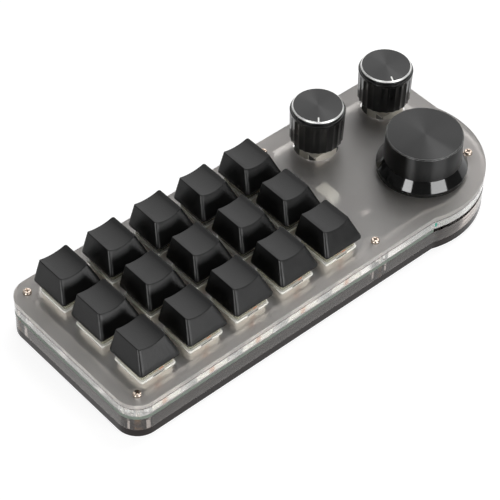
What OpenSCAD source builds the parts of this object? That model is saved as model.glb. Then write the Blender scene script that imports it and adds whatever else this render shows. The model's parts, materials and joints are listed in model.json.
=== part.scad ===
// Macro keypad with knobs: a screwed stack of cut sheets that carries keys and rotary encoders.
// +X runs towards the knobs, +Y away from the user, +Z up. Origin under the middle, on the desk.

/* [Body outline] */
// Overall width, with the round lobe at the knob end
total_w = 194.2; // [186:0.1:230]
// Overall depth, with the lobe
total_d = 77; // [76:0.5:95]
// Radius of the round lobe under the large knob
lobe_r = 35; // [33:0.5:37]
// How far the lobe stands past the straight right end
lobe_out_x = 1.6; // [0.4:0.1:2.6]
// How far the lobe stands past the straight front edge
lobe_out_y = 2; // [0.4:0.1:3]
// Radius of the other three corners
corner_r = 9; // [5:0.5:12]

/* [Sheets] */
// Thickness of the frosted top plate
top_plate_t = 2; // [1.5:0.1:3]
// Thickness of the clear upper spacer frame
upper_spacer_t = 4; // [3.8:0.1:6]
// Thickness of the circuit board
board_t = 1.6; // [1:0.1:2]
// Thickness of the clear lower spacer frame
lower_spacer_t = 6; // [5:0.1:8]
// Thickness of the dark bottom plate
bottom_plate_t = 3.3; // [2.5:0.1:5]
// Width of the spacer frames' rim
rim_w = 6.5; // [4.5:0.1:6.8]
// Radius of the spacer frames' bosses round the screws
boss_r = 4.4; // [3:0.1:4.6]
// How far the board stops short of the lobe's edge
board_lobe_gap = 3; // [1:0.1:3.4]

/* [Feet] */
// Height of a rubber foot
foot_h = 2; // [1.8:0.1:5]
// Radius of a rubber foot at the plate
foot_r = 5; // [3:0.1:7]
// Distance of a foot's centre from the edges
foot_inset = 16; // [14:0.5:24]

/* [Screws] */
// Radius of a screw's shank
screw_r = 1; // [0.8:0.05:1.2]
// Radius of a screw's pan head
screw_head_r = 1.7; // [1.5:0.05:2]
// Height of a screw's pan head
screw_head_h = 1.3; // [1:0.05:1.6]
// How far a screw reaches into its standoff
screw_bite = 2.6; // [1.5:0.1:2.9]
// Distance of the screws from the left and right edges
screw_inset_x = 6.5; // [6:0.1:8]
// Distance of the screws from the front and back edges
screw_inset_y = 5.8; // [5.4:0.1:6.4]
// Distance of the middle screws from the straight right end
mid_screw_from_right = 71.1; // [68:0.1:74]
// Distance of the lobe's screw from its round edge
lobe_screw_inset = 6.4; // [5:0.1:8]
// Direction of the lobe's screw from the lobe's centre, below the X axis
lobe_screw_deg = 34; // [28:1:40]
// Width of a brass standoff across its flats
standoff_w = 3.5; // [3.2:0.1:4.4]

/* [Keys] */
// Number of key columns
columns = 5; // [5:1:5]
// Number of key rows
rows = 3; // [3:1:3]
// Distance between keys
pitch = 22; // [20:0.1:23]
// First key's centre from the left edge
key_margin_x = 18.4; // [17:0.1:20]
// First key's centre from the straight front edge
key_margin_y = 16; // [15.5:0.1:17]
// Width of a keycap at its skirt
cap_w = 18.2; // [17.8:0.1:19]
// Height of a keycap from its skirt to its top corners
cap_h = 8.8; // [8.2:0.1:11]
// Width of a keycap's top
cap_top_w = 12.4; // [11.8:0.1:13]
// Depth of a keycap's top, front to back
cap_top_d = 12.9; // [12.4:0.1:13.4]
// How far the keycap's top sits behind its middle
cap_top_back = 2.3; // [1.5:0.1:2.5]
// Radius of the dish in a keycap's top
cap_dish_r = 18; // [16:0.5:60]
// Wall of a keycap
cap_wall = 1.3; // [1:0.05:1.4]
// Radius of a keycap's upright edges
cap_edge_r = 1.4; // [0.8:0.1:2]
// Gap from the top plate to a keycap's skirt at rest
cap_gap = 5.3; // [5.2:0.05:6.2]
// Travel of a key
key_travel = 4; // [3:0.1:4.1]

/* [Switches] */
// Width of a switch's square flange
flange_w = 15.6; // [15.2:0.1:16]
// Thickness of a switch's flange
flange_t = 1; // [0.8:0.05:1.1]
// Width of a switch's body where it passes the top plate
switch_w = 14; // [13.8:0.05:14.2]
// Height of a switch above the top plate, without its stem
switch_h = 6.6; // [6.4:0.1:6.9]
// Width of a switch cover's top, side to side
cover_top_w = 10.4; // [9.8:0.1:10.8]
// Depth of a switch cover's top, front to back
cover_top_d = 8.8; // [8.4:0.1:9]
// Wall of a switch's housings
switch_wall = 0.8; // [0.6:0.05:0.9]
// Width of the stem's neck
neck_w = 6.9; // [6.4:0.1:7]
// Depth of the stem's neck
neck_d = 5.9; // [5.7:0.1:6]
// Length of the stem's cross
cross_l = 4; // [3.6:0.1:4.1]
// Thickness of the arms of the stem's cross
cross_t = 1.2; // [1:0.05:1.3]
// Height of the stem's cross
cross_h = 3.6; // [3:0.1:3.8]
// Radius of the stem's guide pole
pole_r = 1.5; // [1.3:0.05:1.6]

/* [Knobs] */
// Distance of the small knobs from the back edge
knob_from_back = 15.7; // [14:0.1:17]
// Distance of the right knob from the straight right end
knob_from_right = 15.5; // [14:0.1:17]
// Distance between the two small knobs
knob_spacing = 36.7; // [34:0.1:39]
// Radius of a small knob near its top
knob_r = 10.9; // [10:0.1:12]
// Radius of a small knob at its bottom
knob_foot_r = 10.5; // [9.8:0.1:11.5]
// Height of a small knob's body
knob_h = 14.8; // [13:0.1:18]
// Gap from the top plate to a small knob
knob_gap = 4.7; // [4:0.1:6]
// Radius of a small knob's top disc
knob_disc_r = 9.5; // [8.5:0.1:10]
// Thickness of a small knob's top disc
knob_disc_t = 1.5; // [1:0.1:2.5]
// Number of flutes on a small knob
flutes = 24; // [16:2:32]
// Depth of the flutes
flute_depth = 0.5; // [0.2:0.05:0.8]
// Direction in which the left knob's pointer stands at rest
left_pointer_deg = -131; // [-180:1:180]
// Direction in which the right knob's pointer stands at rest
right_pointer_deg = -118; // [-180:1:180]
// Large knob's centre from the straight right end
big_from_right = 29.7; // [27:0.1:33]
// Large knob's centre from the straight front edge
big_from_front = 23; // [21:0.1:25]
// Radius of the large knob's top
big_r = 15; // [14:0.1:16]
// Radius of the large knob where it meets the skirt
big_waist_r = 15.3; // [14.5:0.1:16.5]
// Height of the large knob's metal cap
big_cap_h = 11.2; // [9:0.1:16]
// Radius of the large knob's skirt
big_skirt_r = 17.9; // [17:0.1:19]
// Height of the skirt's upright edge
big_rim_h = 2.2; // [1:0.1:3]
// Height of the skirt's sloping part
big_slope_h = 3.9; // [3:0.1:6]
// Gap from the top plate to the large knob
big_gap = 0.9; // [0.6:0.1:1.6]

/* [Encoders] */
// Width of an encoder's body
encoder_w = 11.8; // [11:0.1:12.4]
// Height of an encoder's body above the board
encoder_h = 6.9; // [6.5:0.1:7]
// Radius of the round holes for the encoders in the top plate
encoder_hole_r = 9; // [8.9:0.1:9.8]
// Radius of an encoder's shaft
shaft_r = 3; // [2.5:0.1:3.2]
// Height of a shaft's end above the board
shaft_h = 20; // [18:0.1:20.2]
// Radius of an encoder's threaded bush
bush_r = 3.6; // [3.5:0.1:4]
// Height of an encoder's threaded bush above its body
bush_h = 4.6; // [3:0.1:4.8]
// Travel of a knob when it is pushed
push_travel = 0.5; // [0.2:0.05:0.5]

/* [Socket] */
// Width of the socket's shell
port_w = 8.94; // [8.5:0.02:9.3]
// Height of the socket's shell
port_h = 3.26; // [3:0.02:3.5]
// Length of the socket's shell
port_l = 7.35; // [6.5:0.05:8]
// Wall of the socket's shell
port_wall = 0.3; // [0.2:0.05:0.4]

/* [Hidden] */
$fn = 64;
key_names = ["front_1", "front_2", "front_3", "front_4", "front_5",
             "middle_1", "middle_2", "middle_3", "middle_4", "middle_5",
             "back_1", "back_2", "back_3", "back_4", "back_5"];

// One overrun serves every cut
over = 1;
// Clearance of a piece that is set into another without moving in it
fit = 0.05;
// Running clearance round a shaft, a pole or a neck that moves
run = 0.05;
// Clearance round a stem's neck in its cover
neck_run = 0.15;

// Edges and centres of the outline
x_left = -total_w / 2;
x_right = total_w / 2 - lobe_out_x;
y_back = total_d / 2;
y_front = -total_d / 2 + lobe_out_y;
lobe_at = [total_w / 2 - lobe_r, -total_d / 2 + lobe_r];
min_corner_r = 1;
// Where the straight front edge meets the lobe
lobe_step_x = lobe_at[0] - sqrt(pow(lobe_r, 2) - pow(lobe_r - lobe_out_y, 2));

// Levels of the stack
z_bottom = foot_h;
z_lower = z_bottom + bottom_plate_t;
z_board = z_lower + lower_spacer_t;
z_board_top = z_board + board_t;
z_top_plate = z_board_top + upper_spacer_t;
z_plate = z_top_plate + top_plate_t;

// Places of screws, keys, knobs and feet
mid_screw_x = x_right - mid_screw_from_right;
lobe_screw_r = lobe_r - lobe_screw_inset;
screw_places = [
    [x_left + screw_inset_x, y_front + screw_inset_y],
    [x_left + screw_inset_x, y_back - screw_inset_y],
    [mid_screw_x, y_front + screw_inset_y],
    [mid_screw_x, y_back - screw_inset_y],
    [x_right - screw_inset_x, y_back - screw_inset_y],
    lobe_at + lobe_screw_r * [cos(lobe_screw_deg), -sin(lobe_screw_deg)]];
key_places = [for (row = [0:rows - 1]) for (column = [0:columns - 1])
    [x_left + key_margin_x + column * pitch, y_front + key_margin_y + row * pitch]];
right_at = [x_right - knob_from_right, y_back - knob_from_back];
left_at = right_at - [knob_spacing, 0];
big_at = [x_right - big_from_right, y_front + big_from_front];
encoder_places = [left_at, right_at, big_at];
foot_places = [
    [x_left + foot_inset, y_front + foot_inset],
    [x_left + foot_inset, y_back - foot_inset],
    [x_right - foot_inset, y_back - foot_inset],
    [lobe_at[0], y_front + foot_inset]];
foot_taper = 0.6;
screw_hole_r = screw_r + 2 * fit;
standoff_room_r = standoff_w / 2 / cos(30) + 2 * fit;
recess_l = 2;
recess_w = 0.5;
recess_depth = 0.7;
head_round = 0.5;

// Levels inside a switch, above the board's top or from the top plate's top
base_floor = 1;
z_floor = z_board_top + base_floor;
z_cover_top = z_plate + switch_h;
z_cover_foot = z_plate + flange_t;
cover_rim_h = 1;
cover_rim_w = 14.2;
cover_shoulder = 0.6;
taper_share = 0.5;
neck_rise = 0.6;
z_neck = z_cover_top + neck_rise;
roof_gap = 0.05;
z_roof = z_cover_top - switch_wall;
slider_w = 8.2;
slider_d = 7.2;
spring_t = 0.45;
spring_solid_h = 2.2;
spring_bore = 0.12;
tube_wall = 0.85;
tube_h = 1.6;
tube_r = pole_r + run + tube_wall;
press_gap = 0.2;
z_slider = z_floor + spring_solid_h + key_travel + press_gap;
pin_r = 2;
pin_l = 3.2;
pin_floor = 0.8;
z_pole_end = z_board_top - pin_l + pin_floor + key_travel + press_gap;
slot_w = 5.5;
slot_h = 0.45;
slot_depth = 0.5;
slot_rise = 0.35;

// Copper blades of a switch: a wide leaf at the front and a narrow one beside it
leaf_w = 4.6;
leaf_t = 0.25;
leaf_x = 0.9;
leaf_back = 4.85;
leaf_top = 3.3;
tail_w = 0.9;
tail_l = 3.3;
blade_w = 1.6;
blade_x = 4.6;
leaf_tail_x = -0.4;
tail_gap = 0.12;

// Keycap
cap_rim_h = 0.7;
cap_lip_h = 0.5;
cap_top_edge_r = 1.1;
cap_roof = 1.2;
post_r = 2.7;
hull_fn = 32;
z_cap = z_plate + cap_gap;
z_cap_top = z_cap + cap_h;
dish_depth = cap_dish_r - sqrt(pow(cap_dish_r, 2) - pow(cap_top_w / 2, 2));
z_ceiling = z_cap_top - dish_depth - cap_roof;
// How far the keycap's front, back and sides draw in over its slope, and how the front and sides lean
cap_slope_h = cap_h - cap_lip_h - cap_rim_h;
cap_front_in = (cap_w - cap_top_d) / 2 + cap_top_back;
cap_back_in = (cap_w - cap_top_d) / 2 - cap_top_back;
cap_side_in = (cap_w - cap_top_w) / 2;
front_lean = atan(cap_front_in / cap_slope_h);
side_lean = atan(cap_side_in / cap_slope_h);
// Inside of the keycap where it meets the short upright lip under its ceiling
ceiling_share = (z_ceiling - cap_lip_h - z_cap - cap_rim_h) / cap_slope_h;
cap_inner_front = -cap_w / 2 + cap_front_in * ceiling_share + cap_wall / cos(front_lean);
cap_inner_back = cap_w / 2 - cap_back_in * ceiling_share - cap_wall;
cap_inner_w = cap_w - 2 * (cap_side_in * ceiling_share + cap_wall / cos(side_lean));
cap_inner_d = cap_inner_back - cap_inner_front;

// Small knob
knob_band_h = 2.6;
knob_round_h = 1.2;
knob_shoulder_r = 10.3;
knob_disc_rim_r = 10.1;
knob_disc_rim_h = 0.9;
knob_foot_round = 0.5;
flute_cut_r = 1.5;
pointer_l = 2.6;
pointer_w = 0.6;
pointer_depth = 0.2;
socket_r = 4.4;
socket_h = 3;
socket_room = 0.5;
knob_shaft_room = z_board_top - z_plate - knob_gap + over + fit;

// Large knob
big_edge = 0.35;
big_wall = 1.4;
big_foot_round = 0.3;
big_hub_r = 6;
core_gap = 0.05;
core_top_gap = 0.3;
big_shaft_room = z_board_top - z_plate - big_gap - big_rim_h - big_slope_h + over + fit;

// Encoder
cage_t = 0.4;
cage_leg_w = 5;
pusher_r = 2.4;
pusher_t = 1;
pusher_lift = 1.2;
pusher_pin_r = 0.8;
pusher_pin_h = 0.8;
well_r = 2.6;
well_h = 2.25;

// Socket and board parts
port_lip = 0.3;
port_room = 0.4;
port_tongue_w = 6.6;
port_tongue_t = 0.7;
port_tongue_l = 5;
port_back_t = 1.2;
port_x = (left_at[0] + right_at[0]) / 2;
block_size = [5.8, 8.9];
block_gap = 0.3;
block_from_key = [20.9, 0.4];
block_edge_r = 1.2;
chip_size = [7, 7, 1.2];
chip_from_key = [26.3, -8.5];
crystal_size = [3.2, 2.5, 0.8];
crystal_from_chip = [0, -7];
diode_size = [2.7, 1.6, 1.1];
diode_from_key = [7.9, 7.3];
block_at = key_places[2 * columns - 1] + block_from_key;
chip_at = key_places[2 * columns - 1] + chip_from_key;

// Outline of the sheets, drawn in by a distance
module outline(inset) {
    c = max(corner_r - inset, min_corner_r);
    x0 = x_left + inset;
    x1 = x_right - inset;
    y0 = y_front + inset;
    y1 = y_back - inset;
    translate([x0, y0 + c]) square([lobe_at[0] - x0, y1 - y0 - 2 * c]);
    translate([x0 + c, y0]) square([lobe_at[0] - x0 - c, y1 - y0]);
    translate([lobe_at[0], lobe_at[1]]) square([x1 - lobe_at[0], y1 - c - lobe_at[1]]);
    translate([lobe_at[0], lobe_at[1]]) square([x1 - c - lobe_at[0], y1 - lobe_at[1]]);
    for (p = [[x0 + c, y0 + c], [x0 + c, y1 - c], [x1 - c, y1 - c]]) translate(p) circle(c);
    translate(lobe_at) circle(lobe_r - inset, $fn = 180);
}

// Outline of the board, which stops short of the lobe
module board_outline() {
    intersection() {
        outline(0);
        union() {
            translate([x_left, y_front]) square([lobe_step_x - x_left, total_d]);
            translate([lobe_at[0], lobe_at[1]]) square([x_right - lobe_at[0], total_d]);
            translate([lobe_step_x - over, lobe_at[1]])
                square([lobe_at[0] - lobe_step_x + 2 * over, total_d]);
        }
    }
    translate(lobe_at) circle(lobe_r - board_lobe_gap, $fn = 180);
}

module at_each(places) {
    for (p = places) translate(p) children();
}

module screw_holes() {
    at_each(screw_places) circle(screw_hole_r, $fn = 32);
}

// Frosted plate that the switches clip into
module top_plate() {
    color("dimgray") translate([0, 0, z_top_plate]) linear_extrude(top_plate_t) difference() {
        outline(0);
        screw_holes();
        at_each(key_places) square(switch_w, center = true);
        at_each(encoder_places) circle(encoder_hole_r);
    }
}

// Flat ring that follows the outline, with a boss round each screw
module frame_shape() {
    difference() {
        outline(0);
        difference() {
            outline(rim_w);
            at_each(screw_places) circle(boss_r);
        }
        screw_holes();
    }
}

module upper_spacer() {
    color("gainsboro") translate([0, 0, z_board_top]) linear_extrude(upper_spacer_t) difference() {
        frame_shape();
        translate([port_x - port_w / 2 - port_room, y_back - rim_w - over])
            square([port_w + 2 * port_room, rim_w + 2 * over]);
    }
}

module lower_spacer() {
    color("gray") translate([0, 0, z_lower]) linear_extrude(lower_spacer_t) difference() {
        frame_shape();
        at_each(screw_places) circle(standoff_room_r, $fn = 32);
    }
}

module bottom_plate() {
    color("dimgray") translate([0, 0, z_bottom]) linear_extrude(bottom_plate_t) difference() {
        outline(0);
        screw_holes();
    }
}

module circuit_board() {
    color("seagreen") translate([0, 0, z_board]) linear_extrude(board_t) difference() {
        board_outline();
        screw_holes();
        at_each(key_places) circle(pin_r + fit, $fn = 32);
        at_each(key_places) tail_holes();
    }
}

// Holes for the tails of a switch's two blades
module tail_holes() {
    for (x = [leaf_x + leaf_tail_x, blade_x])
        translate([x - tail_w / 2 - tail_gap, -leaf_back - tail_gap])
            square([tail_w + 2 * tail_gap, leaf_t + 2 * tail_gap]);
}

module rubber_feet() {
    color("black") at_each(foot_places) cylinder(h = foot_h, r1 = foot_r - foot_taper, r2 = foot_r);
}

// Pan head with a cross recess, its seat at z = 0 and its shank below
module screw(length) {
    difference() {
        rotate_extrude($fn = 48) union() {
            square([screw_head_r - head_round, screw_head_h]);
            square([screw_head_r, screw_head_h - head_round]);
            translate([screw_head_r - head_round, screw_head_h - head_round]) circle(head_round);
        }
        for (turn = [0, 90]) rotate([0, 0, turn])
            translate([-recess_l / 2, -recess_w / 2, screw_head_h - recess_depth])
                cube([recess_l, recess_w, recess_depth + over]);
    }
    translate([0, 0, -length]) cylinder(h = length, r = screw_r, $fn = 32);
}

module top_screws() {
    color("silver") translate([0, 0, z_plate]) at_each(screw_places)
        screw(z_plate - z_board + screw_bite);
}

module bottom_screws() {
    color("silver") translate([0, 0, z_bottom]) at_each(screw_places) mirror([0, 0, 1])
        screw(bottom_plate_t + screw_bite);
}

// Hexagonal brass pillar between the bottom plate and the board
module standoffs() {
    color("goldenrod") translate([0, 0, z_lower]) at_each(screw_places) difference() {
        cylinder(h = lower_spacer_t, r = standoff_w / 2 / cos(30), $fn = 6);
        translate([0, 0, -over]) cylinder(h = lower_spacer_t + 2 * over, r = screw_r + fit, $fn = 32);
    }
}

module centred_box(w, d, h) {
    translate([-w / 2, -d / 2, 0]) cube([w, d, h]);
}

// Lower housing of a switch: body through the plate, flange on it, tube and locating pin
module switch_base() {
    body_w = switch_w - 2 * fit;
    inner_w = body_w - 2 * switch_wall;
    difference() {
        union() {
            translate([0, 0, z_board_top]) centred_box(body_w, body_w, z_plate - z_board_top);
            translate([0, 0, z_plate]) centred_box(flange_w, flange_w, flange_t);
            translate([0, 0, z_board_top - pin_l]) cylinder(h = pin_l, r = pin_r, $fn = 32);
        }
        translate([0, 0, z_floor]) centred_box(inner_w, inner_w, z_plate - z_floor + flange_t + over);
        translate([0, 0, z_board_top - pin_l + pin_floor])
            cylinder(h = pin_l + base_floor, r = pole_r + run, $fn = 32);
        translate([-slot_w / 2, -flange_w / 2 - over, z_plate + slot_rise])
            cube([slot_w, slot_depth + over, slot_h]);
        translate([0, 0, z_board_top - over]) linear_extrude(base_floor + 2 * over) tail_holes();
    }
    translate([0, 0, z_floor]) difference() {
        cylinder(h = tube_h, r = tube_r, $fn = 32);
        translate([0, 0, -over]) cylinder(h = tube_h + 2 * over, r = pole_r + run, $fn = 32);
    }
}

module switch_bases() {
    color("whitesmoke") at_each(key_places) switch_base();
}

// Tapered block: a front outline drawn through one way, cut to a side outline drawn the other
module taper_block(w0, d0, w1, d1, h) {
    intersection() {
        rotate([90, 0, 0]) translate([0, 0, -d0]) linear_extrude(2 * d0)
            polygon([[-w0 / 2, 0], [w0 / 2, 0], [w1 / 2, h], [-w1 / 2, h]]);
        rotate([90, 0, 90]) translate([0, 0, -w0]) linear_extrude(2 * w0)
            polygon([[-d0 / 2, 0], [d0 / 2, 0], [d1 / 2, h], [-d1 / 2, h]]);
    }
}

// Upper housing of a switch: a low rim and a tapered hood with an opening for the stem's neck
module switch_cover() {
    hood_w = cover_rim_w - cover_shoulder;
    hood_h = z_cover_top - z_cover_foot - cover_rim_h;
    difference() {
        union() {
            translate([0, 0, z_cover_foot]) centred_box(cover_rim_w, cover_rim_w, cover_rim_h);
            translate([0, 0, z_cover_foot + cover_rim_h])
                taper_block(hood_w, hood_w, cover_top_w, cover_top_d, hood_h);
        }
        translate([0, 0, z_cover_foot + cover_rim_h]) taper_block(hood_w - 2 * switch_wall,
            hood_w - 2 * switch_wall, cover_top_w - 2 * switch_wall + switch_wall * taper_share,
            cover_top_d - 2 * switch_wall + switch_wall * taper_share, hood_h - switch_wall);
        translate([0, 0, z_cover_foot - over])
            centred_box(hood_w - 2 * switch_wall, hood_w - 2 * switch_wall, cover_rim_h + over);
        translate([0, 0, z_cover_foot])
            centred_box(neck_w + 2 * neck_run, neck_d + 2 * neck_run, z_cover_top);
    }
}

module switch_covers() {
    color("white") at_each(key_places) switch_cover();
}

// A wide leaf and a narrow blade, each with a tail through the board
module switch_contact() {
    for (b = [[leaf_x, leaf_w, leaf_tail_x], [blade_x, blade_w, 0]]) {
        translate([b[0] - b[1] / 2, -leaf_back, z_floor])
            cube([b[1], leaf_t, z_plate - z_floor + leaf_top]);
        translate([b[0] + b[2] - tail_w / 2, -leaf_back, z_board_top - tail_l])
            cube([tail_w, leaf_t, tail_l + base_floor]);
    }
}

module switch_contacts() {
    color("peru") at_each(key_places) switch_contact();
}

// A switch's spring at its closed length, as a plain sleeve round the guide tube
module switch_springs() {
    color("silver") translate([0, 0, z_floor]) at_each(key_places) difference() {
        cylinder(h = spring_solid_h, r = tube_r + spring_bore + spring_t, $fn = 32);
        translate([0, 0, -over])
            cylinder(h = spring_solid_h + 2 * over, r = tube_r + spring_bore, $fn = 32);
    }
}

// Stem: guide pole, slider block, neck and the cross that carries the keycap
module stem(i) {
    color("whitesmoke") translate(key_places[i]) {
        translate([0, 0, z_pole_end]) cylinder(h = z_slider - z_pole_end, r = pole_r, $fn = 32);
        translate([0, 0, z_slider]) centred_box(slider_w, slider_d, z_roof - roof_gap - z_slider);
        translate([0, 0, z_roof - roof_gap]) centred_box(neck_w, neck_d, z_neck - z_roof + roof_gap);
        translate([0, 0, z_neck]) centred_box(cross_l, cross_t, cross_h);
        translate([0, 0, z_neck]) centred_box(cross_t, cross_l, cross_h);
    }
}

// Four upright posts at the corners of a rectangle, for a hull
module corner_posts(w, d, r, h) {
    for (x = [r - w / 2, w / 2 - r]) for (y = [r - d / 2, d / 2 - r])
        translate([x, y, 0]) cylinder(h = h, r = r, $fn = hull_fn);
}

// Keycap: hollow, with a long slope at the front, a dished top and a post for the stem
module keycap(i) {
    slot_fit = 2 * fit;
    inner_edge_r = max(cap_top_edge_r - cap_wall / 2, fit);
    color("#2c2c2c") translate(key_places[i]) {
        difference() {
            hull() {
                translate([0, 0, z_cap]) corner_posts(cap_w, cap_w, cap_edge_r, cap_rim_h);
                translate([0, cap_top_back, z_cap_top - cap_lip_h])
                    corner_posts(cap_top_w, cap_top_d, cap_top_edge_r, cap_lip_h);
            }
            hull() {
                translate([0, 0, z_cap - over]) corner_posts(cap_w - 2 * cap_wall,
                    cap_w - 2 * cap_wall, inner_edge_r, over + cap_rim_h / 2);
                translate([0, (cap_inner_front + cap_inner_back) / 2, z_ceiling - cap_lip_h])
                    corner_posts(cap_inner_w, cap_inner_d, inner_edge_r, cap_lip_h);
            }
            translate([0, -cap_w, z_cap_top - dish_depth + cap_dish_r]) rotate([-90, 0, 0])
                cylinder(h = 3 * cap_w, r = cap_dish_r, $fn = 180);
        }
        difference() {
            translate([0, 0, z_neck + fit]) cylinder(h = z_ceiling - z_neck, r = post_r);
            for (turn = [0, 90]) rotate([0, 0, turn])
                translate([0, 0, z_neck - over]) centred_box(cross_l + slot_fit,
                    cross_t + slot_fit, cross_h + over + 2 * fit);
        }
    }
}

// Metal shell of the socket, open at the back edge of the body
module port_shape(w, h) {
    translate([-w / 2 + h / 2, 0]) square([w - h, h]);
    for (x = [h / 2 - w / 2, w / 2 - h / 2]) translate([x, h / 2]) circle(h / 2, $fn = 32);
}

module port_socket() {
    color("silver") translate([port_x, y_back - port_lip, z_board_top]) rotate([90, 0, 0])
        difference() {
            linear_extrude(port_l) port_shape(port_w, port_h);
            translate([0, port_wall, -over]) linear_extrude(port_l + 2 * over)
                port_shape(port_w - 2 * port_wall, port_h - 2 * port_wall);
        }
}

// Insulator that closes the socket's inner end and carries the tongue
module port_tongue() {
    color("black") translate([port_x, y_back - port_lip - port_l, z_board_top + port_wall + fit / 2]) {
        rotate([-90, 0, 0]) mirror([0, 1, 0]) linear_extrude(port_back_t)
            port_shape(port_w - 2 * port_wall - fit, port_h - 2 * port_wall - fit);
        translate([-port_tongue_w / 2, 0, (port_h - 2 * port_wall - port_tongue_t) / 2])
            cube([port_tongue_w, port_tongue_l, port_tongue_t]);
    }
}

// Pale block under the frosted plate, controller chip, crystal and one diode for each key
module board_parts() {
    color("white") translate([block_at[0], block_at[1], z_board_top])
        linear_extrude(upper_spacer_t - block_gap) {
            square([block_size[0], block_size[1] - 2 * block_edge_r], center = true);
            square([block_size[0] - 2 * block_edge_r, block_size[1]], center = true);
            for (x = [-1, 1]) for (y = [-1, 1])
                translate([x * (block_size[0] / 2 - block_edge_r), y * (block_size[1] / 2 - block_edge_r)])
                    circle(block_edge_r, $fn = 32);
        }
    color("black") translate([chip_at[0], chip_at[1], z_board_top])
        centred_box(chip_size[0], chip_size[1], chip_size[2]);
    color("silver") translate([chip_at[0] + crystal_from_chip[0], chip_at[1] + crystal_from_chip[1],
        z_board_top]) centred_box(crystal_size[0], crystal_size[1], crystal_size[2]);
    color("black") translate([0, 0, z_board - diode_size[2]]) at_each(key_places)
        translate(diode_from_key) centred_box(diode_size[0], diode_size[1], diode_size[2]);
}

// Plastic base of an encoder, with a well for the push plate and a bore for the shaft
module encoder_bases() {
    color("dimgray") translate([0, 0, z_board_top]) at_each(encoder_places) difference() {
        centred_box(encoder_w, encoder_w, encoder_h - cage_t);
        translate([0, 0, -over]) cylinder(h = encoder_h + 2 * over, r = well_r, $fn = 32);
        translate([0, 0, well_h - push_travel - fit]) cylinder(h = encoder_h, r = shaft_r + run);
    }
}

// Folded metal cage of an encoder, with the threaded bush that guides the shaft
module encoder_cages() {
    leg_h = encoder_h - fit;
    color("silver") translate([0, 0, z_board_top]) at_each(encoder_places) difference() {
        union() {
            translate([0, 0, encoder_h - cage_t])
                centred_box(encoder_w + 2 * cage_t, encoder_w, cage_t);
            translate([0, 0, encoder_h]) cylinder(h = bush_h, r = bush_r);
            for (side = [-1, 1]) translate([side * (encoder_w + cage_t) / 2, 0, encoder_h - leg_h])
                centred_box(cage_t, cage_leg_w, leg_h);
            for (side = [-1, 1]) translate([0, side * (encoder_w + cage_t) / 2, encoder_h - leg_h])
                centred_box(encoder_w - 2 * cage_t, cage_t, leg_h);
        }
        translate([0, 0, encoder_h - cage_t - over])
            cylinder(h = bush_h + cage_t + 2 * over, r = shaft_r + run);
    }
}

// Push plate under a shaft, with a pin on which the shaft turns
module pusher(place) {
    color("white") translate([place[0], place[1], z_board_top + pusher_lift]) {
        cylinder(h = pusher_t, r = pusher_r, $fn = 32);
        translate([0, 0, pusher_t]) cylinder(h = pusher_pin_h, r = pusher_pin_r, $fn = 32);
    }
}

module shaft(place) {
    foot = pusher_lift + pusher_t + fit;
    color("silver") translate([place[0], place[1], z_board_top]) difference() {
        translate([0, 0, foot]) cylinder(h = shaft_h - foot, r = shaft_r);
        translate([0, 0, foot - over])
            cylinder(h = pusher_pin_h + over + 2 * fit, r = pusher_pin_r + run, $fn = 32);
    }
}

// Fluted body of a small knob; the socket at its foot clears the bush
module small_knob(place, turn) {
    color("#1a1a1a") translate([place[0], place[1], z_plate + knob_gap]) rotate([0, 0, turn])
        difference() {
            rotate_extrude() polygon([
                [0, 0], [knob_foot_r - knob_foot_round, 0], [knob_foot_r, knob_foot_round],
                [knob_r, knob_h - knob_round_h], [knob_shoulder_r, knob_h], [0, knob_h]]);
            for (n = [0:flutes - 1]) rotate([0, 0, n * 360 / flutes])
                translate([knob_foot_r + flute_cut_r - flute_depth, 0, -over])
                    cylinder(h = knob_h - knob_band_h + over, r = flute_cut_r, $fn = 24);
            translate([0, 0, -over]) cylinder(h = socket_h + over, r = socket_r);
            translate([0, 0, -over]) cylinder(h = shaft_h + knob_shaft_room, r = shaft_r + fit / 2);
        }
}

// Metal disc on a small knob, with a chamfered rim and a cut for the pointer's paint
module small_disc(place, turn) {
    color("#303030") translate([place[0], place[1], z_plate + knob_gap + knob_h])
        rotate([0, 0, turn]) difference() {
            rotate_extrude() polygon([
                [0, 0], [knob_disc_rim_r, 0], [knob_disc_rim_r, knob_disc_rim_h],
                [knob_disc_r, knob_disc_t], [0, knob_disc_t]]);
            translate([knob_disc_r - pointer_l, -pointer_w / 2, knob_disc_t - pointer_depth])
                cube([pointer_l + over, pointer_w, pointer_depth + over]);
        }
}

// Skirt and core of the large knob: open below, with a hub round the shaft
module big_knob_skirt() {
    top = big_rim_h + big_slope_h;
    core_r = big_r - big_edge - big_wall - core_gap;
    core_h = top + big_cap_h - big_wall - core_top_gap;
    shaft_top = shaft_h + z_board_top - z_plate - big_gap;
    hollow_r = core_r - big_wall;
    hub_foot = encoder_h + bush_h + z_board_top - z_plate - big_gap + push_travel + socket_room;
    color("#101010") translate([big_at[0], big_at[1], z_plate + big_gap]) difference() {
        rotate_extrude($fn = 96) polygon([
            [0, 0], [big_skirt_r - big_foot_round, 0], [big_skirt_r, big_foot_round],
            [big_skirt_r, big_rim_h], [big_waist_r, top], [core_r, top],
            [core_r, core_h], [0, core_h]]);
        difference() {
            translate([0, 0, -over]) cylinder(h = core_h - big_wall + over, r = hollow_r);
            translate([0, 0, hub_foot]) cylinder(h = core_h, r = big_hub_r);
        }
        translate([0, 0, -over]) cylinder(h = shaft_top + over + fit, r = shaft_r + fit / 2);
    }
}

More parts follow.
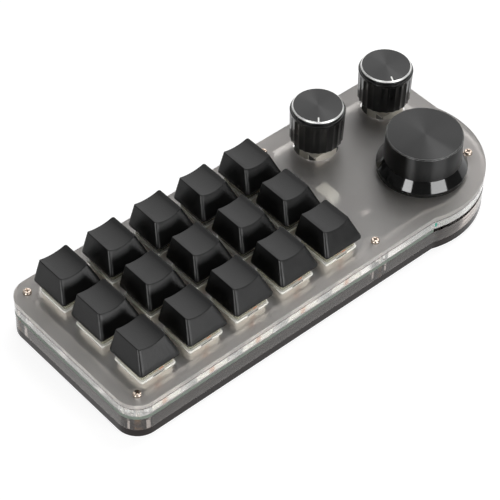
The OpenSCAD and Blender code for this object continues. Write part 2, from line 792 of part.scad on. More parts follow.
// Spun metal cap over the core of the large knob
module big_knob_cap() {
    foot = big_rim_h + big_slope_h;
    color("#262626") translate([big_at[0], big_at[1], z_plate + big_gap + foot]) difference() {
        rotate_extrude($fn = 96) polygon([
            [0, 0], [big_waist_r, 0], [big_r, big_cap_h - big_edge],
            [big_r - big_edge, big_cap_h], [0, big_cap_h]]);
        translate([0, 0, -over])
            cylinder(h = big_cap_h - big_wall + over, r = big_r - big_edge - big_wall);
        translate([0, 0, -over]) cylinder(h = shaft_h + big_shaft_room, r = shaft_r + fit / 2);
    }
}

top_plate();
upper_spacer();
circuit_board();
lower_spacer();
bottom_plate();
rubber_feet();
top_screws();
bottom_screws();
standoffs();
switch_bases();
switch_covers();
switch_contacts();
switch_springs();
port_socket();
port_tongue();
board_parts();
encoder_bases();
encoder_cages();
pusher(left_at);  // left_pusher
shaft(left_at);  // left_shaft
small_knob(left_at, left_pointer_deg);  // left_knob
small_disc(left_at, left_pointer_deg);  // left_knob_disc
pusher(right_at);  // right_pusher
shaft(right_at);  // right_shaft
small_knob(right_at, right_pointer_deg);  // right_knob
small_disc(right_at, right_pointer_deg);  // right_knob_disc
pusher(big_at);  // big_pusher
shaft(big_at);  // big_shaft
big_knob_skirt();
big_knob_cap();
for (i = [0:len(key_names) - 1]) {
    keycap(i);
    stem(i);
}
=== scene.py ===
import json
import math

import bmesh
import bpy
from mathutils import Matrix, Vector

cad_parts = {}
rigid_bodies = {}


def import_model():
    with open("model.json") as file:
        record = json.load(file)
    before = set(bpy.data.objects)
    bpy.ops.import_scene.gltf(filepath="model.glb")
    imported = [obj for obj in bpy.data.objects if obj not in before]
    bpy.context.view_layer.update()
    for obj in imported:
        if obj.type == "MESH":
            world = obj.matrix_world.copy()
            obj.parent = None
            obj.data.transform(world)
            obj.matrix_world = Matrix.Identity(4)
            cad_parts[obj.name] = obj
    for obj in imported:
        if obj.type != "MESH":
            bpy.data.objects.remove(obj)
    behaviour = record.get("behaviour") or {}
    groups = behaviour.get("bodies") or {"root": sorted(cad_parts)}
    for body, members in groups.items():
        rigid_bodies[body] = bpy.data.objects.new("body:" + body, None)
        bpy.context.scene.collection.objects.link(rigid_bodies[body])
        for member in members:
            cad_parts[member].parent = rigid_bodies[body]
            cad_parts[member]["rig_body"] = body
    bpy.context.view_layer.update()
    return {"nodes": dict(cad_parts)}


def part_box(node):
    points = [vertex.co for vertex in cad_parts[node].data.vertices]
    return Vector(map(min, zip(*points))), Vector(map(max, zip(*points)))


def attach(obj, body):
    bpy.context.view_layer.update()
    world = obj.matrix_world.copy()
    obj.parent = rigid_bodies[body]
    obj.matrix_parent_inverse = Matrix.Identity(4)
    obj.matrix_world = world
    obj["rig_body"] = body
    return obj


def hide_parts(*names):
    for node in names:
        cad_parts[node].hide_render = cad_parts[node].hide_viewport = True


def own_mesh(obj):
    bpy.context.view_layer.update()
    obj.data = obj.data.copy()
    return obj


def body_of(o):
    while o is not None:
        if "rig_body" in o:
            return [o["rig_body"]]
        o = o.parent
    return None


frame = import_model()
mm = 0.001
fullTurn = 2 * math.pi
keyNames = [f"{row}_{column}" for row in ("front", "middle", "back") for column in range(1, 6)]
print("frame loaded with", len(frame["nodes"]), "nodes")


# Places and sizes in millimetres, read from the frame

def boxOf(node):
    low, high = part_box(node)
    return low / mm, high / mm


def middleOf(node):
    low, high = boxOf(node)
    return (low + high) / 2


bottomTop = boxOf("bottom_plate")[1].z
boardTop = boxOf("circuit_board")[1].z
plateLow = boxOf("top_plate")[0].z
plateTop = boxOf("top_plate")[1].z
keyPlaces = {key: middleOf("stem_" + key) for key in keyNames}
keyPitch = keyPlaces["front_2"].x - keyPlaces["front_1"].x
knobPlaces = {side: middleOf(side + "_shaft") for side in ("left", "right", "big")}


# Camera at the photograph's viewing angle: long lens, from the front left and above

cameraLook = {
    "place": (-0.3588, -0.3800, 0.5489), "azimuth": -42.46, "elevation": 46.09, "roll": 1.53, "lens": 141.9,
    "sensor": 36.0,
}


def addObject(name, data):
    made = bpy.data.objects.new(name, data)
    bpy.context.scene.collection.objects.link(made)
    return made


# The way from the object to a camera or lamp, whose azimuth counts from the front towards the right
def wayTo(azimuth, elevation):
    return Vector((math.sin(azimuth) * math.cos(elevation), -math.cos(azimuth) * math.cos(elevation),
                   math.sin(elevation)))


def addCamera(look):
    azimuth, elevation, roll = (math.radians(look[name]) for name in ("azimuth", "elevation", "roll"))
    back = wayTo(azimuth, elevation)
    level = Vector((math.cos(azimuth), math.sin(azimuth), 0))
    upright = back.cross(level)
    right = math.cos(roll) * level + math.sin(roll) * upright
    up = math.cos(roll) * upright - math.sin(roll) * level
    data = bpy.data.cameras.new("camera")
    data.lens = look["lens"]
    data.sensor_width = look["sensor"]
    data.clip_start = 0.01
    data.clip_end = 20
    camera = addObject("camera", data)
    camera.matrix_world = Matrix.Translation(look["place"]) @ Matrix((right, up, back)).transposed().to_4x4()
    bpy.context.scene.camera = camera


addCamera(cameraLook)
print("camera placed")


# Materials

def hexColor(code):
    channels = [int(code[i:i + 2], 16) / 255 for i in (1, 3, 5)]
    return tuple(c / 12.92 if c <= 0.04045 else ((c + 0.055) / 1.055) ** 2.4 for c in channels) + (1.0,)


# Adds a node: an input that is given a socket is linked to it, any other input takes the value
def addNode(tree, kind, inputs, output=0, **settings):
    node = tree.nodes.new(kind)
    for name, value in settings.items():
        setattr(node, name, value)
    for name, value in inputs.items():
        if isinstance(value, bpy.types.NodeSocket):
            tree.links.new(value, node.inputs[name])
        else:
            node.inputs[name].default_value = value
    return node.outputs[output]


def startMaterial(name, colour, roughness, **sockets):
    material = bpy.data.materials.new(name)
    material.use_nodes = True
    tree = material.node_tree
    shader = tree.nodes["Principled BSDF"]
    shader.inputs["Base Color"].default_value = hexColor(colour)
    shader.inputs["Roughness"].default_value = roughness
    for socket, value in sockets.items():
        shader.inputs[socket.replace("_", " ")].default_value = value
    material.diffuse_color = hexColor(colour)
    return material, tree, shader


def drive(shader, socket, source):
    shader.id_data.links.new(source, shader.inputs[socket])


# Where a point lies on its piece; centre in millimetres
def objectPoints(tree, stretch=(1, 1, 1), centre=(0, 0, 0)):
    coordinates = addNode(tree, "ShaderNodeTexCoord", {}, "Object")
    return addNode(tree, "ShaderNodeMapping", {"Vector": coordinates, "Scale": stretch,
                   "Location": [-c * mm * s for c, s in zip(centre, stretch)]}, vector_type="POINT")


def objectPlace(tree):
    return addNode(tree, "ShaderNodeSeparateXYZ", {"Vector": objectPoints(tree)}).node.outputs


def normalAlong(tree, axis):
    normal = addNode(tree, "ShaderNodeNewGeometry", {}, "Normal")
    return addNode(tree, "ShaderNodeSeparateXYZ", {"Vector": normal}, axis)


# A mottled pattern whose lumps are about size millimetres across
def mottle(tree, size, detail=2.0, stretch=(1, 1, 1)):
    return addNode(tree, "ShaderNodeTexNoise", {"Vector": objectPoints(tree, stretch), "Scale": 1 / (size * mm),
                   "Detail": detail, "Roughness": 0.5}, "Fac")


def blendColours(tree, share, stops):
    shade = addNode(tree, "ShaderNodeValToRGB", {"Fac": share})
    band = shade.node.color_ramp
    while len(band.elements) < len(stops):
        band.elements.new(0.5)
    for element, (position, colour) in zip(band.elements, stops):
        element.position = position
        element.color = hexColor(colour)
    return shade


# One pattern drives the colour between two hex values and the roughness between two numbers
def drift(tree, shader, pattern, ends, colours, roughness):
    drive(shader, "Base Color", blendColours(tree, pattern, list(zip(ends, colours))))
    drive(shader, "Roughness", spread(tree, pattern, *roughness))


# Lays one colour over another: the share is 1 where the upper one covers
def layOver(tree, under, over, share):
    return addNode(tree, "ShaderNodeMix", {0: share, 6: under, 7: over}, 2, data_type="RGBA")


# Carries a value from one span to another and holds it at both ends
def spread(tree, value, low, high, fromLow=0.3, fromHigh=0.7):
    return addNode(tree, "ShaderNodeMapRange", {"Value": value, "From Min": fromLow, "From Max": fromHigh,
                   "To Min": low, "To Max": high})


# Several shares from 0 to 1 in one: MULTIPLY keeps what lies in all of them, MAXIMUM what lies in any
def joinShares(tree, operation, *shares):
    whole = shares[0]
    for share in shares[1:]:
        whole = addNode(tree, "ShaderNodeMath", {0: whole, 1: share}, operation=operation)
    return whole


# 1 inside the span from low to high, with soft ends
def within(tree, value, low, high, soft):
    return joinShares(tree, "MULTIPLY", spread(tree, value, 0.0, 1.0, low, low + soft),
                      spread(tree, value, 1.0, 0.0, high - soft, high))


# 1 on upright walls such as cut edges, 0 on level faces
def uprightShare(tree):
    level = addNode(tree, "ShaderNodeMath", {0: normalAlong(tree, "Z")}, operation="ABSOLUTE")
    return spread(tree, level, 1.0, 0.0, 0.35, 0.8)


# Distance in millimetres from the middle of the nearest key, along one axis of the key grid
def fromKey(tree, place, axis):
    start = keyPlaces[keyNames[0]][axis] - keyPitch / 2
    steps = addNode(tree, "ShaderNodeMath", {0: place, 1: 1 / mm, 2: -start}, operation="MULTIPLY_ADD")
    turn = addNode(tree, "ShaderNodeMath", {0: steps, 1: keyPitch}, operation="FLOORED_MODULO")
    return addNode(tree, "ShaderNodeMath", {0: turn, 1: keyPitch / 2}, operation="SUBTRACT")


# 1 where the copper contact shows through a switch's front wall
def contactShare(tree, lowX, highX, lowZ, highZ):
    at = objectPlace(tree)
    return joinShares(
        tree, "MULTIPLY", within(tree, fromKey(tree, at["X"], 0), lowX, highX, 0.4),
        within(tree, at["Z"], lowZ * mm, highZ * mm, 0.3 * mm),
        spread(tree, normalAlong(tree, "Y"), 1.0, 0.0, -0.95, -0.8))


# The relief is depth millimetres high
def bump(tree, shader, height, depth, strength=1.0):
    relief = addNode(tree, "ShaderNodeBump", {"Height": height, "Strength": strength, "Distance": depth * mm})
    drive(shader, "Normal", relief)


# Lamps reach what is behind clear plastic: for their rays the sheet is a plain tint
def letLampsThrough(tree, shader, tint):
    shadow = addNode(tree, "ShaderNodeLightPath", {}, "Is Shadow Ray")
    clear = addNode(tree, "ShaderNodeBsdfTransparent", {"Color": hexColor(tint)})
    mixed = addNode(tree, "ShaderNodeMixShader", {0: shadow, 1: shader.outputs["BSDF"], 2: clear})
    tree.links.new(mixed, tree.nodes["Material Output"].inputs["Surface"])


# Cast acrylic with frosted faces: a pale haze over what lies beneath; its laser cut walls scatter and look paler
frostedLook = {
    "face": "#d3cecb", "wall": "#dcd8d4", "clearFace": 0.925, "clearWall": 0.7, "grainSize": 0.35,
    "roughUnder": 0.26, "roughTop": 0.33, "roughGrain": 0.07, "skin": 0.5, "lampTint": "#fbfaf9",
}


def frostedAcrylic(look):
    material, tree, shader = startMaterial(
        "frostedAcrylic", look["face"], 0.36, IOR=1.49, Specular_IOR_Level=1.0,
        Transmission_Weight=look["clearFace"])
    grain = mottle(tree, look["grainSize"], 3.0)     # real frost is about 0.05 mm, drawn coarser so that it shows
    edge = uprightShare(tree)
    drive(shader, "Base Color", blendColours(tree, edge, [(0.0, look["face"]), (1.0, look["wall"])]))
    drive(shader, "Transmission Weight", spread(tree, edge, look["clearFace"], look["clearWall"], 0, 1))
    face = spread(tree, objectPlace(tree)["Z"], look["roughUnder"], look["roughTop"],
                  (plateLow + look["skin"]) * mm, (plateTop - look["skin"]) * mm)
    drive(shader, "Roughness", addNode(tree, "ShaderNodeMath", {
        0: face, 1: spread(tree, grain, 0.0, look["roughGrain"])}, operation="ADD"))
    bump(tree, shader, grain, 0.006, 0.5)
    letLampsThrough(tree, shader, look["lampTint"])
    return material


# Glass epoxy board: green lacquer on its faces, pale greenish laminate at its cut edge
def boardLaminate():
    material, tree, shader = startMaterial("epoxyBoardGreenLacquer", "#1d3f3b", 0.35, IOR=1.5)
    tracks = mottle(tree, 3.0, 4.0)
    face = blendColours(tree, tracks, [(0.42, "#141f1d"), (0.5, "#1d2d2a"), (0.6, "#172522")])
    edge = uprightShare(tree)
    fibres = blendColours(tree, mottle(tree, 0.3, 2.0, (0.3, 0.3, 3)), [(0.3, "#626c63"), (0.7, "#7b857b")])
    drive(shader, "Base Color", layOver(tree, face, fibres, edge))
    drive(shader, "Roughness", spread(tree, edge, 0.3, 0.6, 0, 1))
    return material


# Black cast acrylic: deep gloss on the faces, a slightly hazy cut edge
def blackAcrylic():
    material, tree, shader = startMaterial("blackCastAcrylic", "#131112", 0.12, IOR=1.49, Specular_IOR_Level=0.14)
    edge = uprightShare(tree)
    drive(shader, "Base Color", blendColours(tree, edge, [(0.0, "#131112"), (1.0, "#221d1c")]))
    haze = mottle(tree, 0.6, 2.0, (1, 1, 0.03))
    drive(shader, "Roughness", spread(tree, haze, 0.10, 0.28))
    return material


# ABS keycaps, spark-eroded mould: an even, very fine grain that gives a soft sheen
def mouldedKeycap():
    material, tree, shader = startMaterial("absKeycapFineGrain", "#0e0e0e", 0.35, IOR=1.5, Specular_IOR_Level=0.3)
    grain = mottle(tree, 0.5)     # real grit is about 0.05 mm, drawn coarser so that it shows
    drift(tree, shader, mottle(tree, 5.0), (0.35, 0.65), ("#0c0c0c", "#101010"), (0.32, 0.39))
    bump(tree, shader, grain, 0.04, 0.9)
    return material


# Clear cast acrylic, laser cut: clear as glass through its faces, its cut edge hazy with fine upright lines, with
# a dark brownish line of painted shade along the rim that meets the next sheet. Only the upper frame has the rest:
# a painted image of the switch bodies close behind in its front bar, pale with a copper spot, its upper face dull
# there so that they do not show through the plate as well, and a painted image of the board's green corner at the
# lobe.
# Lengths are in millimetres, bodyHeight and fleckHeight from the board.
lowerFrameLook = {
    "tint": "#a89f99", "lampTint": "#dfdad6", "bloom": 0.06, "haze": 0.05, "relief": 0.003, "mirror": 0.6,
    "gloss": 0.02, "jointShade": (bottomTop - 0.1, bottomTop + 0.35), "jointShadeColour": "#4a403b",
}
upperFrameLook = {
    **lowerFrameLook, "tint": "#eeeeec", "lampTint": "#f6f6f4", "bloom": 0.34, "haze": 0.04, "mirror": 0.5,
    "jointShade": (plateLow - 0.5, plateLow + 0.1), "dull": 0.55, "dullDepth": (0.4, 0.2), "dullFade": 6.0,
    "barY": (-30.3, -29.7), "barEnd": 18.0, "bodyHeight": 3.5, "bodyHalf": 7.6, "bodyAside": 2.2,
    "body": "#eceae2", "spot": "#c99a82", "spotHalf": (0.7, 1.4),
    "fleck": "#2a9d86", "fleckX": (50.6, 51.8), "fleckY": (-35.5, -35.0), "fleckHeight": (0.8, 3.2),
}


def dullFace(tree, look, at):
    low, high = ((plateLow - depth) * mm for depth in look["dullDepth"])
    end, faded = look["barEnd"] * mm, (look["barEnd"] + look["dullFade"]) * mm
    share = joinShares(tree, "MULTIPLY", spread(tree, at["Z"], 0.0, 1.0, low, high),
                       spread(tree, at["X"], 1.0, 0.0, end, faded))
    return spread(tree, share, look["gloss"], look["dull"], 0, 1)


# Painted image of the switch bodies behind the front bar, pale with a copper spot, and of the board's green corner
# at the lobe: it stands in for their image in the clear wall
def paintBehindImage(tree, look, at, edge, colour):
    aside = addNode(tree, "ShaderNodeMath", {0: fromKey(tree, at["X"], 0), 1: look["bodyAside"]}, operation="ADD")
    away = addNode(tree, "ShaderNodeMath", {0: aside}, operation="ABSOLUTE")
    bodyTop = (boardTop + look["bodyHeight"]) * mm
    bodies = joinShares(
        tree, "MULTIPLY", within(tree, at["Y"], *(y * mm for y in look["barY"]), 0.1 * mm),
        spread(tree, at["X"], 1.0, 0.0, (look["barEnd"] - 1) * mm, look["barEnd"] * mm),
        within(tree, at["Z"], 0.0, bodyTop, 0.5 * mm),
        spread(tree, away, 1.0, 0.0, look["bodyHalf"] - 0.6, look["bodyHalf"]))
    shades = blendColours(tree, spread(tree, away, 0.0, 1.0, *look["spotHalf"]),
                          [(0.0, look["spot"]), (1.0, look["body"])])
    fleck = joinShares(
        tree, "MULTIPLY", edge, spread(tree, at["Y"], 1.0, 0.0, *(y * mm for y in look["fleckY"])),
        within(tree, at["X"], *(x * mm for x in look["fleckX"]), 0.2 * mm),
        within(tree, at["Z"], *((boardTop + z) * mm for z in look["fleckHeight"]), 0.3 * mm))
    colour = layOver(tree, layOver(tree, colour, shades, bodies), hexColor(look["fleck"]), fleck)
    return colour, joinShares(tree, "MAXIMUM", bodies, fleck)


def clearAcrylic(name, look):
    material, tree, shader = startMaterial(
        name, look["tint"], 0.04, IOR=1.49, Transmission_Weight=1.0, Specular_IOR_Level=look["mirror"])
    lines = mottle(tree, 0.5, 2.0, (1, 1, 0.02))     # real lines are about 0.1 mm apart, drawn coarser to show
    edge = uprightShare(tree)
    at = objectPlace(tree)
    # painted shade: a dark brownish line along the rim of the cut edge that meets the next sheet
    paintedJointShade = joinShares(tree, "MULTIPLY", edge, within(tree, at["Z"], *(z * mm for z in look["jointShade"]), 0.1 * mm))
    colour = layOver(tree, hexColor(look["tint"]), hexColor(look["jointShadeColour"]), paintedJointShade)
    solid = joinShares(tree, "MAXIMUM", paintedJointShade, spread(tree, edge, 0.0, look["bloom"], 0, 1))
    face = look["gloss"]
    # the upper frame also gets the painted image of the switch bodies and the board's corner
    if "barY" in look:
        face = dullFace(tree, look, at)
        colour, shown = paintBehindImage(tree, look, at, edge, colour)
        solid = joinShares(tree, "MAXIMUM", solid, shown)
    haze = spread(tree, lines, look["haze"] * 0.5, look["haze"] * 1.5)
    rough = addNode(tree, "ShaderNodeMix", {0: edge, 2: face, 3: haze}, data_type="FLOAT")
    drive(shader, "Base Color", colour)
    drive(shader, "Roughness", rough)
    drive(shader, "Transmission Weight", spread(tree, solid, 1.0, 0.3, 0, 1))
    bump(tree, shader, lines, look["relief"], 0.5)
    letLampsThrough(tree, shader, look["lampTint"])
    return material


# Nylon switch housing: milky, warm white, with painted shade inside the slot of its flange
slotPaintedShade = {"colour": "#45433e", "fromKeyX": (-2.65, 2.65), "fromKeyY": (-7.77, -6.0), "abovePlate": (0.21, 0.81)}


def milkyNylon(shade):
    material, tree, shader = startMaterial("milkyNylonHousing", "#f3f2ea", 0.3, IOR=1.53, Transmission_Weight=0.1)
    milk = blendColours(tree, mottle(tree, 2.5), [(0.3, "#efeee6"), (0.7, "#f8f7f1")])
    shown = contactShare(tree, -0.4, 1.8, boardTop + 0.9, boardTop + 2.6)
    at = objectPlace(tree)
    # painted shade: the inside of the flange's slot is given the dark colour
    slot = joinShares(
        tree, "MULTIPLY", within(tree, fromKey(tree, at["X"], 0), *shade["fromKeyX"], 0.02),
        within(tree, fromKey(tree, at["Y"], 1), *shade["fromKeyY"], 0.02),
        within(tree, at["Z"], *((plateTop + z) * mm for z in shade["abovePlate"]), 0.01 * mm))
    copper = layOver(tree, milk, hexColor("#bd8c72"), shown)
    drive(shader, "Base Color", layOver(tree, copper, hexColor(shade["colour"]), slot))
    letLampsThrough(tree, shader, "#c9c8be")
    return material


# Polycarbonate switch cover: clear, with a faint milky bloom
def clearPolycarbonate():
    material, tree, shader = startMaterial(
        "clearPolycarbonateCover", "#f2f1ea", 0.08, IOR=1.58, Transmission_Weight=0.9)
    shown = contactShare(tree, 0.4, 2.8, plateTop + 1.0, plateTop + 2.6)
    drive(shader, "Base Color", layOver(tree, hexColor("#f2f1ea"), hexColor("#c07f5e"), shown))
    drive(shader, "Transmission Weight", spread(tree, shown, 0.9, 0.1, 0, 1))
    drive(shader, "Roughness", spread(tree, mottle(tree, 1.5), 0.05, 0.14))
    letLampsThrough(tree, shader, "#e8e7dd")
    return material


# Plain moulded plastics: a touch of mottle in colour and gloss
def mouldedPlastic(name, colour, lighter, roughness, grain=0.25, relief=0.006, **sockets):
    material, tree, shader = startMaterial(name, colour, roughness, **sockets)
    swing = (roughness * 0.85, roughness * 1.15)
    drift(tree, shader, mottle(tree, 2.0), (0.35, 0.65), (colour, lighter), swing)
    bump(tree, shader, mottle(tree, grain), relief, 0.5)
    return material


# Metals: the colour drifts slightly, and drawing or rolling leaves faint lines
def workedMetal(name, colour, lighter, roughness, lineSize=0.2, stretch=(1, 1, 1), metallic=1.0):
    material, tree, shader = startMaterial(name, colour, roughness, Metallic=metallic)
    lines = mottle(tree, lineSize, 2.0, stretch)
    drift(tree, shader, lines, (0.3, 0.7), (colour, lighter), (roughness * 0.7, roughness * 1.3))
    bump(tree, shader, lines, 0.004, 0.4)
    return material


# Black anodised aluminium, turned: fine rings round the axis stretch each lamp into a fan of light
ringPitch = 0.3      # millimetres; real tool marks are about 0.1, drawn coarser so that they show
waveRepeat = 0.314   # distance between the rings of a wave texture whose scale is 1


def turnedAluminium(name, colour, lighter, roughness, centre, anisotropy):
    material, tree, shader = startMaterial(
        name, colour, roughness, Metallic=1.0, Anisotropic=anisotropy, Anisotropic_Rotation=0.25)
    rings = addNode(tree, "ShaderNodeTexWave", {
        "Vector": objectPoints(tree, (1, 1, 1), centre), "Scale": waveRepeat / (ringPitch * mm), "Distortion": 0.4,
        "Detail": 1.0}, "Fac", wave_type="RINGS", rings_direction="Z")
    drive(shader, "Base Color", blendColours(tree, rings, [(0.0, colour), (1.0, lighter)]))
    drive(shader, "Tangent", addNode(tree, "ShaderNodeTangent", {}, direction_type="RADIAL", axis="Z"))
    return material


steelSides = (0.25, 0.25, 2.5)
materials = {
    "frosted_acrylic": frostedAcrylic(frostedLook),
    "clear_acrylic": clearAcrylic("clearAcrylicLaserCut", upperFrameLook),
    "smoked_clear_acrylic": clearAcrylic("clearAcrylicLowerFrame", lowerFrameLook),
    "circuit_board": boardLaminate(),
    "black_acrylic": blackAcrylic(),
    "rubber_foot": mouldedPlastic("mouldedRubberFoot", "#151515", "#1c1c1c", 0.75, 0.3, 0.02),
    "nickel_screw": workedMetal("nickelPlatedSteel", "#b8a99c", "#d4c6b9", 0.16, 0.4),
    "brass_standoff": workedMetal("turnedBrass", "#cf9f4c", "#e3b767", 0.25, 0.25, (1, 1, 4)),
    "switch_base_plastic": milkyNylon(slotPaintedShade),
    "switch_clear_plastic": clearPolycarbonate(),
    "copper_contact": workedMetal("stampedCopperAlloy", "#c98263", "#dd9a78", 0.28, 0.3, (1, 1, 0.3)),
    "spring_steel": workedMetal("drawnSpringWire", "#b5b5b2", "#cbcbc8", 0.25, 0.2),
    "socket_steel": workedMetal("platedSocketSteel", "#b9b9b7", "#cdcdcb", 0.25, 0.3, steelSides),
    "black_insulator": mouldedPlastic("mouldedBlackInsulator", "#121212", "#1a1a1a", 0.5),
    "board_part_plastic": mouldedPlastic("boardPartPlastic", "#cfd5cc", "#dce1d8", 0.5),
    "encoder_plastic": mouldedPlastic("encoderBasePlastic", "#5c5b56", "#686761", 0.45),
    "encoder_steel": workedMetal("tinnedCageSteel", "#d2cdc2", "#e6e1d6", 0.42, 0.3, steelSides, 0.5),
    "pusher_plastic": mouldedPlastic("pusherPlastic", "#c8c8c3", "#d4d4cf", 0.45),
    "shaft_metal": workedMetal("turnedShaftMetal", "#bcbcbc", "#cfcfcf", 0.25, 0.2, (1, 1, 4)),
    "knob_gloss_plastic": mouldedPlastic("blackAbsGloss", "#0c0c0c", "#101010", 0.16, 0.5, 0.002, IOR=1.54),
    "skirt_gloss_plastic": mouldedPlastic(
        "polishedBlackSkirt", "#0a0a0a", "#0e0e0e", 0.08, 0.8, 0.001, IOR=1.54, Specular_IOR_Level=0.39),
    "stem_pom": mouldedPlastic("mouldedAcetalStem", "#4a372c", "#57422f", 0.4),
    "keycap_abs": mouldedKeycap(),
    "bigTop": turnedAluminium("bigCapAnodised", "#353535", "#383838", 0.31, middleOf("big_knob_cap"), 0.97),
    "brightCut": workedMetal("diamondCutAluminium", "#f0f0ee", "#fafaf8", 0.34, 0.3, metallic=0.55),
    "pointerPaint": mouldedPlastic("whitePointerPaint", "#f2f2ee", "#fafaf6", 0.4),
}
for side in ("left", "right"):
    materials[side + "Disc"] = turnedAluminium(
        side + "DiscAnodised", "#3b3b3b", "#3e3e3e", 0.36, middleOf(side + "_knob_disc"), 0.9)
print("materials made:", len(materials))


# Pieces modelled here stand for the plain solids; each is shaped in millimetres round its own place and then moved

def bodyOf(node):
    return body_of(frame["nodes"][node])[0]


def finishPiece(name, bm, place, node, slot, material=None, sharp=30):
    bmesh.ops.remove_doubles(bm, verts=bm.verts, dist=0.0005)
    bmesh.ops.recalc_face_normals(bm, faces=bm.faces)
    bmesh.ops.translate(bm, vec=Vector(place), verts=bm.verts)
    bmesh.ops.scale(bm, vec=(mm, mm, mm), verts=bm.verts)
    mesh = bpy.data.meshes.new(name)
    bm.to_mesh(mesh)
    bm.free()
    mesh.shade_smooth()
    mesh.set_sharp_from_angle(angle=math.radians(sharp))
    mesh.materials.append(materials[material or slot])
    piece = addObject(name, mesh)
    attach(piece, bodyOf(node))
    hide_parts(node)
    return piece


def startBlock(width, depth, height, low=0.0):
    bm = bmesh.new()
    bmesh.ops.create_cube(bm, size=1, matrix=Matrix.Translation((0, 0, low + height / 2)) @
                          Matrix.Diagonal((width, depth, height, 1)))
    return bm


def uprightEdges(bm):
    return [e for e in bm.edges if abs((e.verts[0].co - e.verts[1].co).normalized().z) > 0.9]


def bevelEdges(bm, edges, radius, segments):
    bmesh.ops.bevel(bm, geom=edges, offset=radius, offset_type="OFFSET", segments=segments, profile=0.5,
                    affect="EDGES", clamp_overlap=True, material=-1)


def cutAcross(bm, point, normal):
    bmesh.ops.bisect_plane(bm, geom=bm.verts[:] + bm.edges[:] + bm.faces[:], plane_co=point, plane_no=normal)


def facesFacing(bm, way, least=0.9):
    bm.normal_update()
    return [f for f in bm.faces if f.normal.dot(Vector(way)) > least]


# Pushes faces along and grows walls round the pit that they leave
def pushFaces(bm, faces, way, narrow=1.0):
    grown = bmesh.ops.extrude_face_region(bm, geom=faces)["geom"]
    verts = [part for part in grown if isinstance(part, bmesh.types.BMVert)]
    bmesh.ops.scale(bm, vec=(narrow, narrow, 1), verts=verts)
    bmesh.ops.translate(bm, vec=way, verts=verts)
    bmesh.ops.delete(bm, geom=faces, context="FACES")


# A profile of (radius, height) points turned once round the upright axis
def turnProfile(points, segments, closed=False):
    bm = bmesh.new()
    verts = [bm.verts.new((radius, 0, height)) for radius, height in points]
    edges = [bm.edges.new(pair) for pair in zip(verts, verts[1:] + (verts[:1] if closed else []))
             if pair[0] is not pair[1]]
    bmesh.ops.spin(bm, geom=verts + edges, cent=(0, 0, 0), axis=(0, 0, 1), angle=fullTurn, steps=segments,
                   use_merge=True, use_duplicate=False)
    return bm


def addCopy(bm, part, place, turn=0):
    mesh = bpy.data.meshes.new("copy")
    part.to_mesh(mesh)
    mesh.transform(Matrix.Translation(place) @ Matrix.Rotation(math.radians(turn), 4, "Z"))
    bm.from_mesh(mesh)
    bpy.data.meshes.remove(mesh)


def growEdges(bm, edges):
    grown = bmesh.ops.extrude_edge_only(bm, edges=edges)["geom"]
    kinds = (bmesh.types.BMEdge, bmesh.types.BMVert)
    return [[part for part in grown if isinstance(part, kind)] for kind in kinds]


# Rings of a rounded rectangle (width, depth, corner radius, height), each grown out of the one before
def stackRings(bm, sections, closed=False, perCorner=5):
    place = bm.verts.layers.int.new("place")
    verts = bmesh.ops.create_circle(bm, cap_ends=False, segments=4 * perCorner, radius=1)["verts"]
    edges = bm.edges[:]
    for index, vert in enumerate(verts):
        vert[place] = index
    levels = list(sections) + (list(sections[:1]) if closed else [])
    for number, (width, depth, radius, height) in enumerate(levels):
        if number:
            edges, verts = growEdges(bm, edges)
        for vert in verts:
            corner, along = divmod(vert[place], perCorner)
            angle = (corner + along / (perCorner - 1)) * math.pi / 2
            sideX, sideY = (1, -1, -1, 1)[corner], (1, 1, -1, -1)[corner]
            vert.co = (sideX * (width / 2 - radius) + radius * math.cos(angle),
                       sideY * (depth / 2 - radius) + radius * math.sin(angle), height)
        if not closed and number in (0, len(levels) - 1):
            bmesh.ops.contextual_create(bm, geom=edges)
    bm.verts.layers.int.remove(place)


def roundEdges(piece, radius, segments=2, sharp=30):
    rounding = piece.modifiers.new("rounded", "BEVEL")
    rounding.width = radius * mm
    rounding.segments = segments
    rounding.limit_method = "ANGLE"
    rounding.angle_limit = math.radians(sharp)
    piece.modifiers.new("weighted", "WEIGHTED_NORMAL").weight = 90


# Keycap: tall at the back, long front slope, a dish across the top, hollow, with a post for the stem
keycapShape = {
    "topWidth": 12.4, "topDepth": 12.9, "topBack": 2.3, "cornerRadius": 1.4, "rimHeight": 0.7,
    "dishRadius": 18.0, "topRounding": 0.32, "wall": 1.3, "postRadius": 2.7, "postBore": 2.1, "postFoot": 1.95,
    "postDrop": 2.4, "levels": (0.7, 2.3, 3.9, 5.5, 6.9), "strips": 16,
}


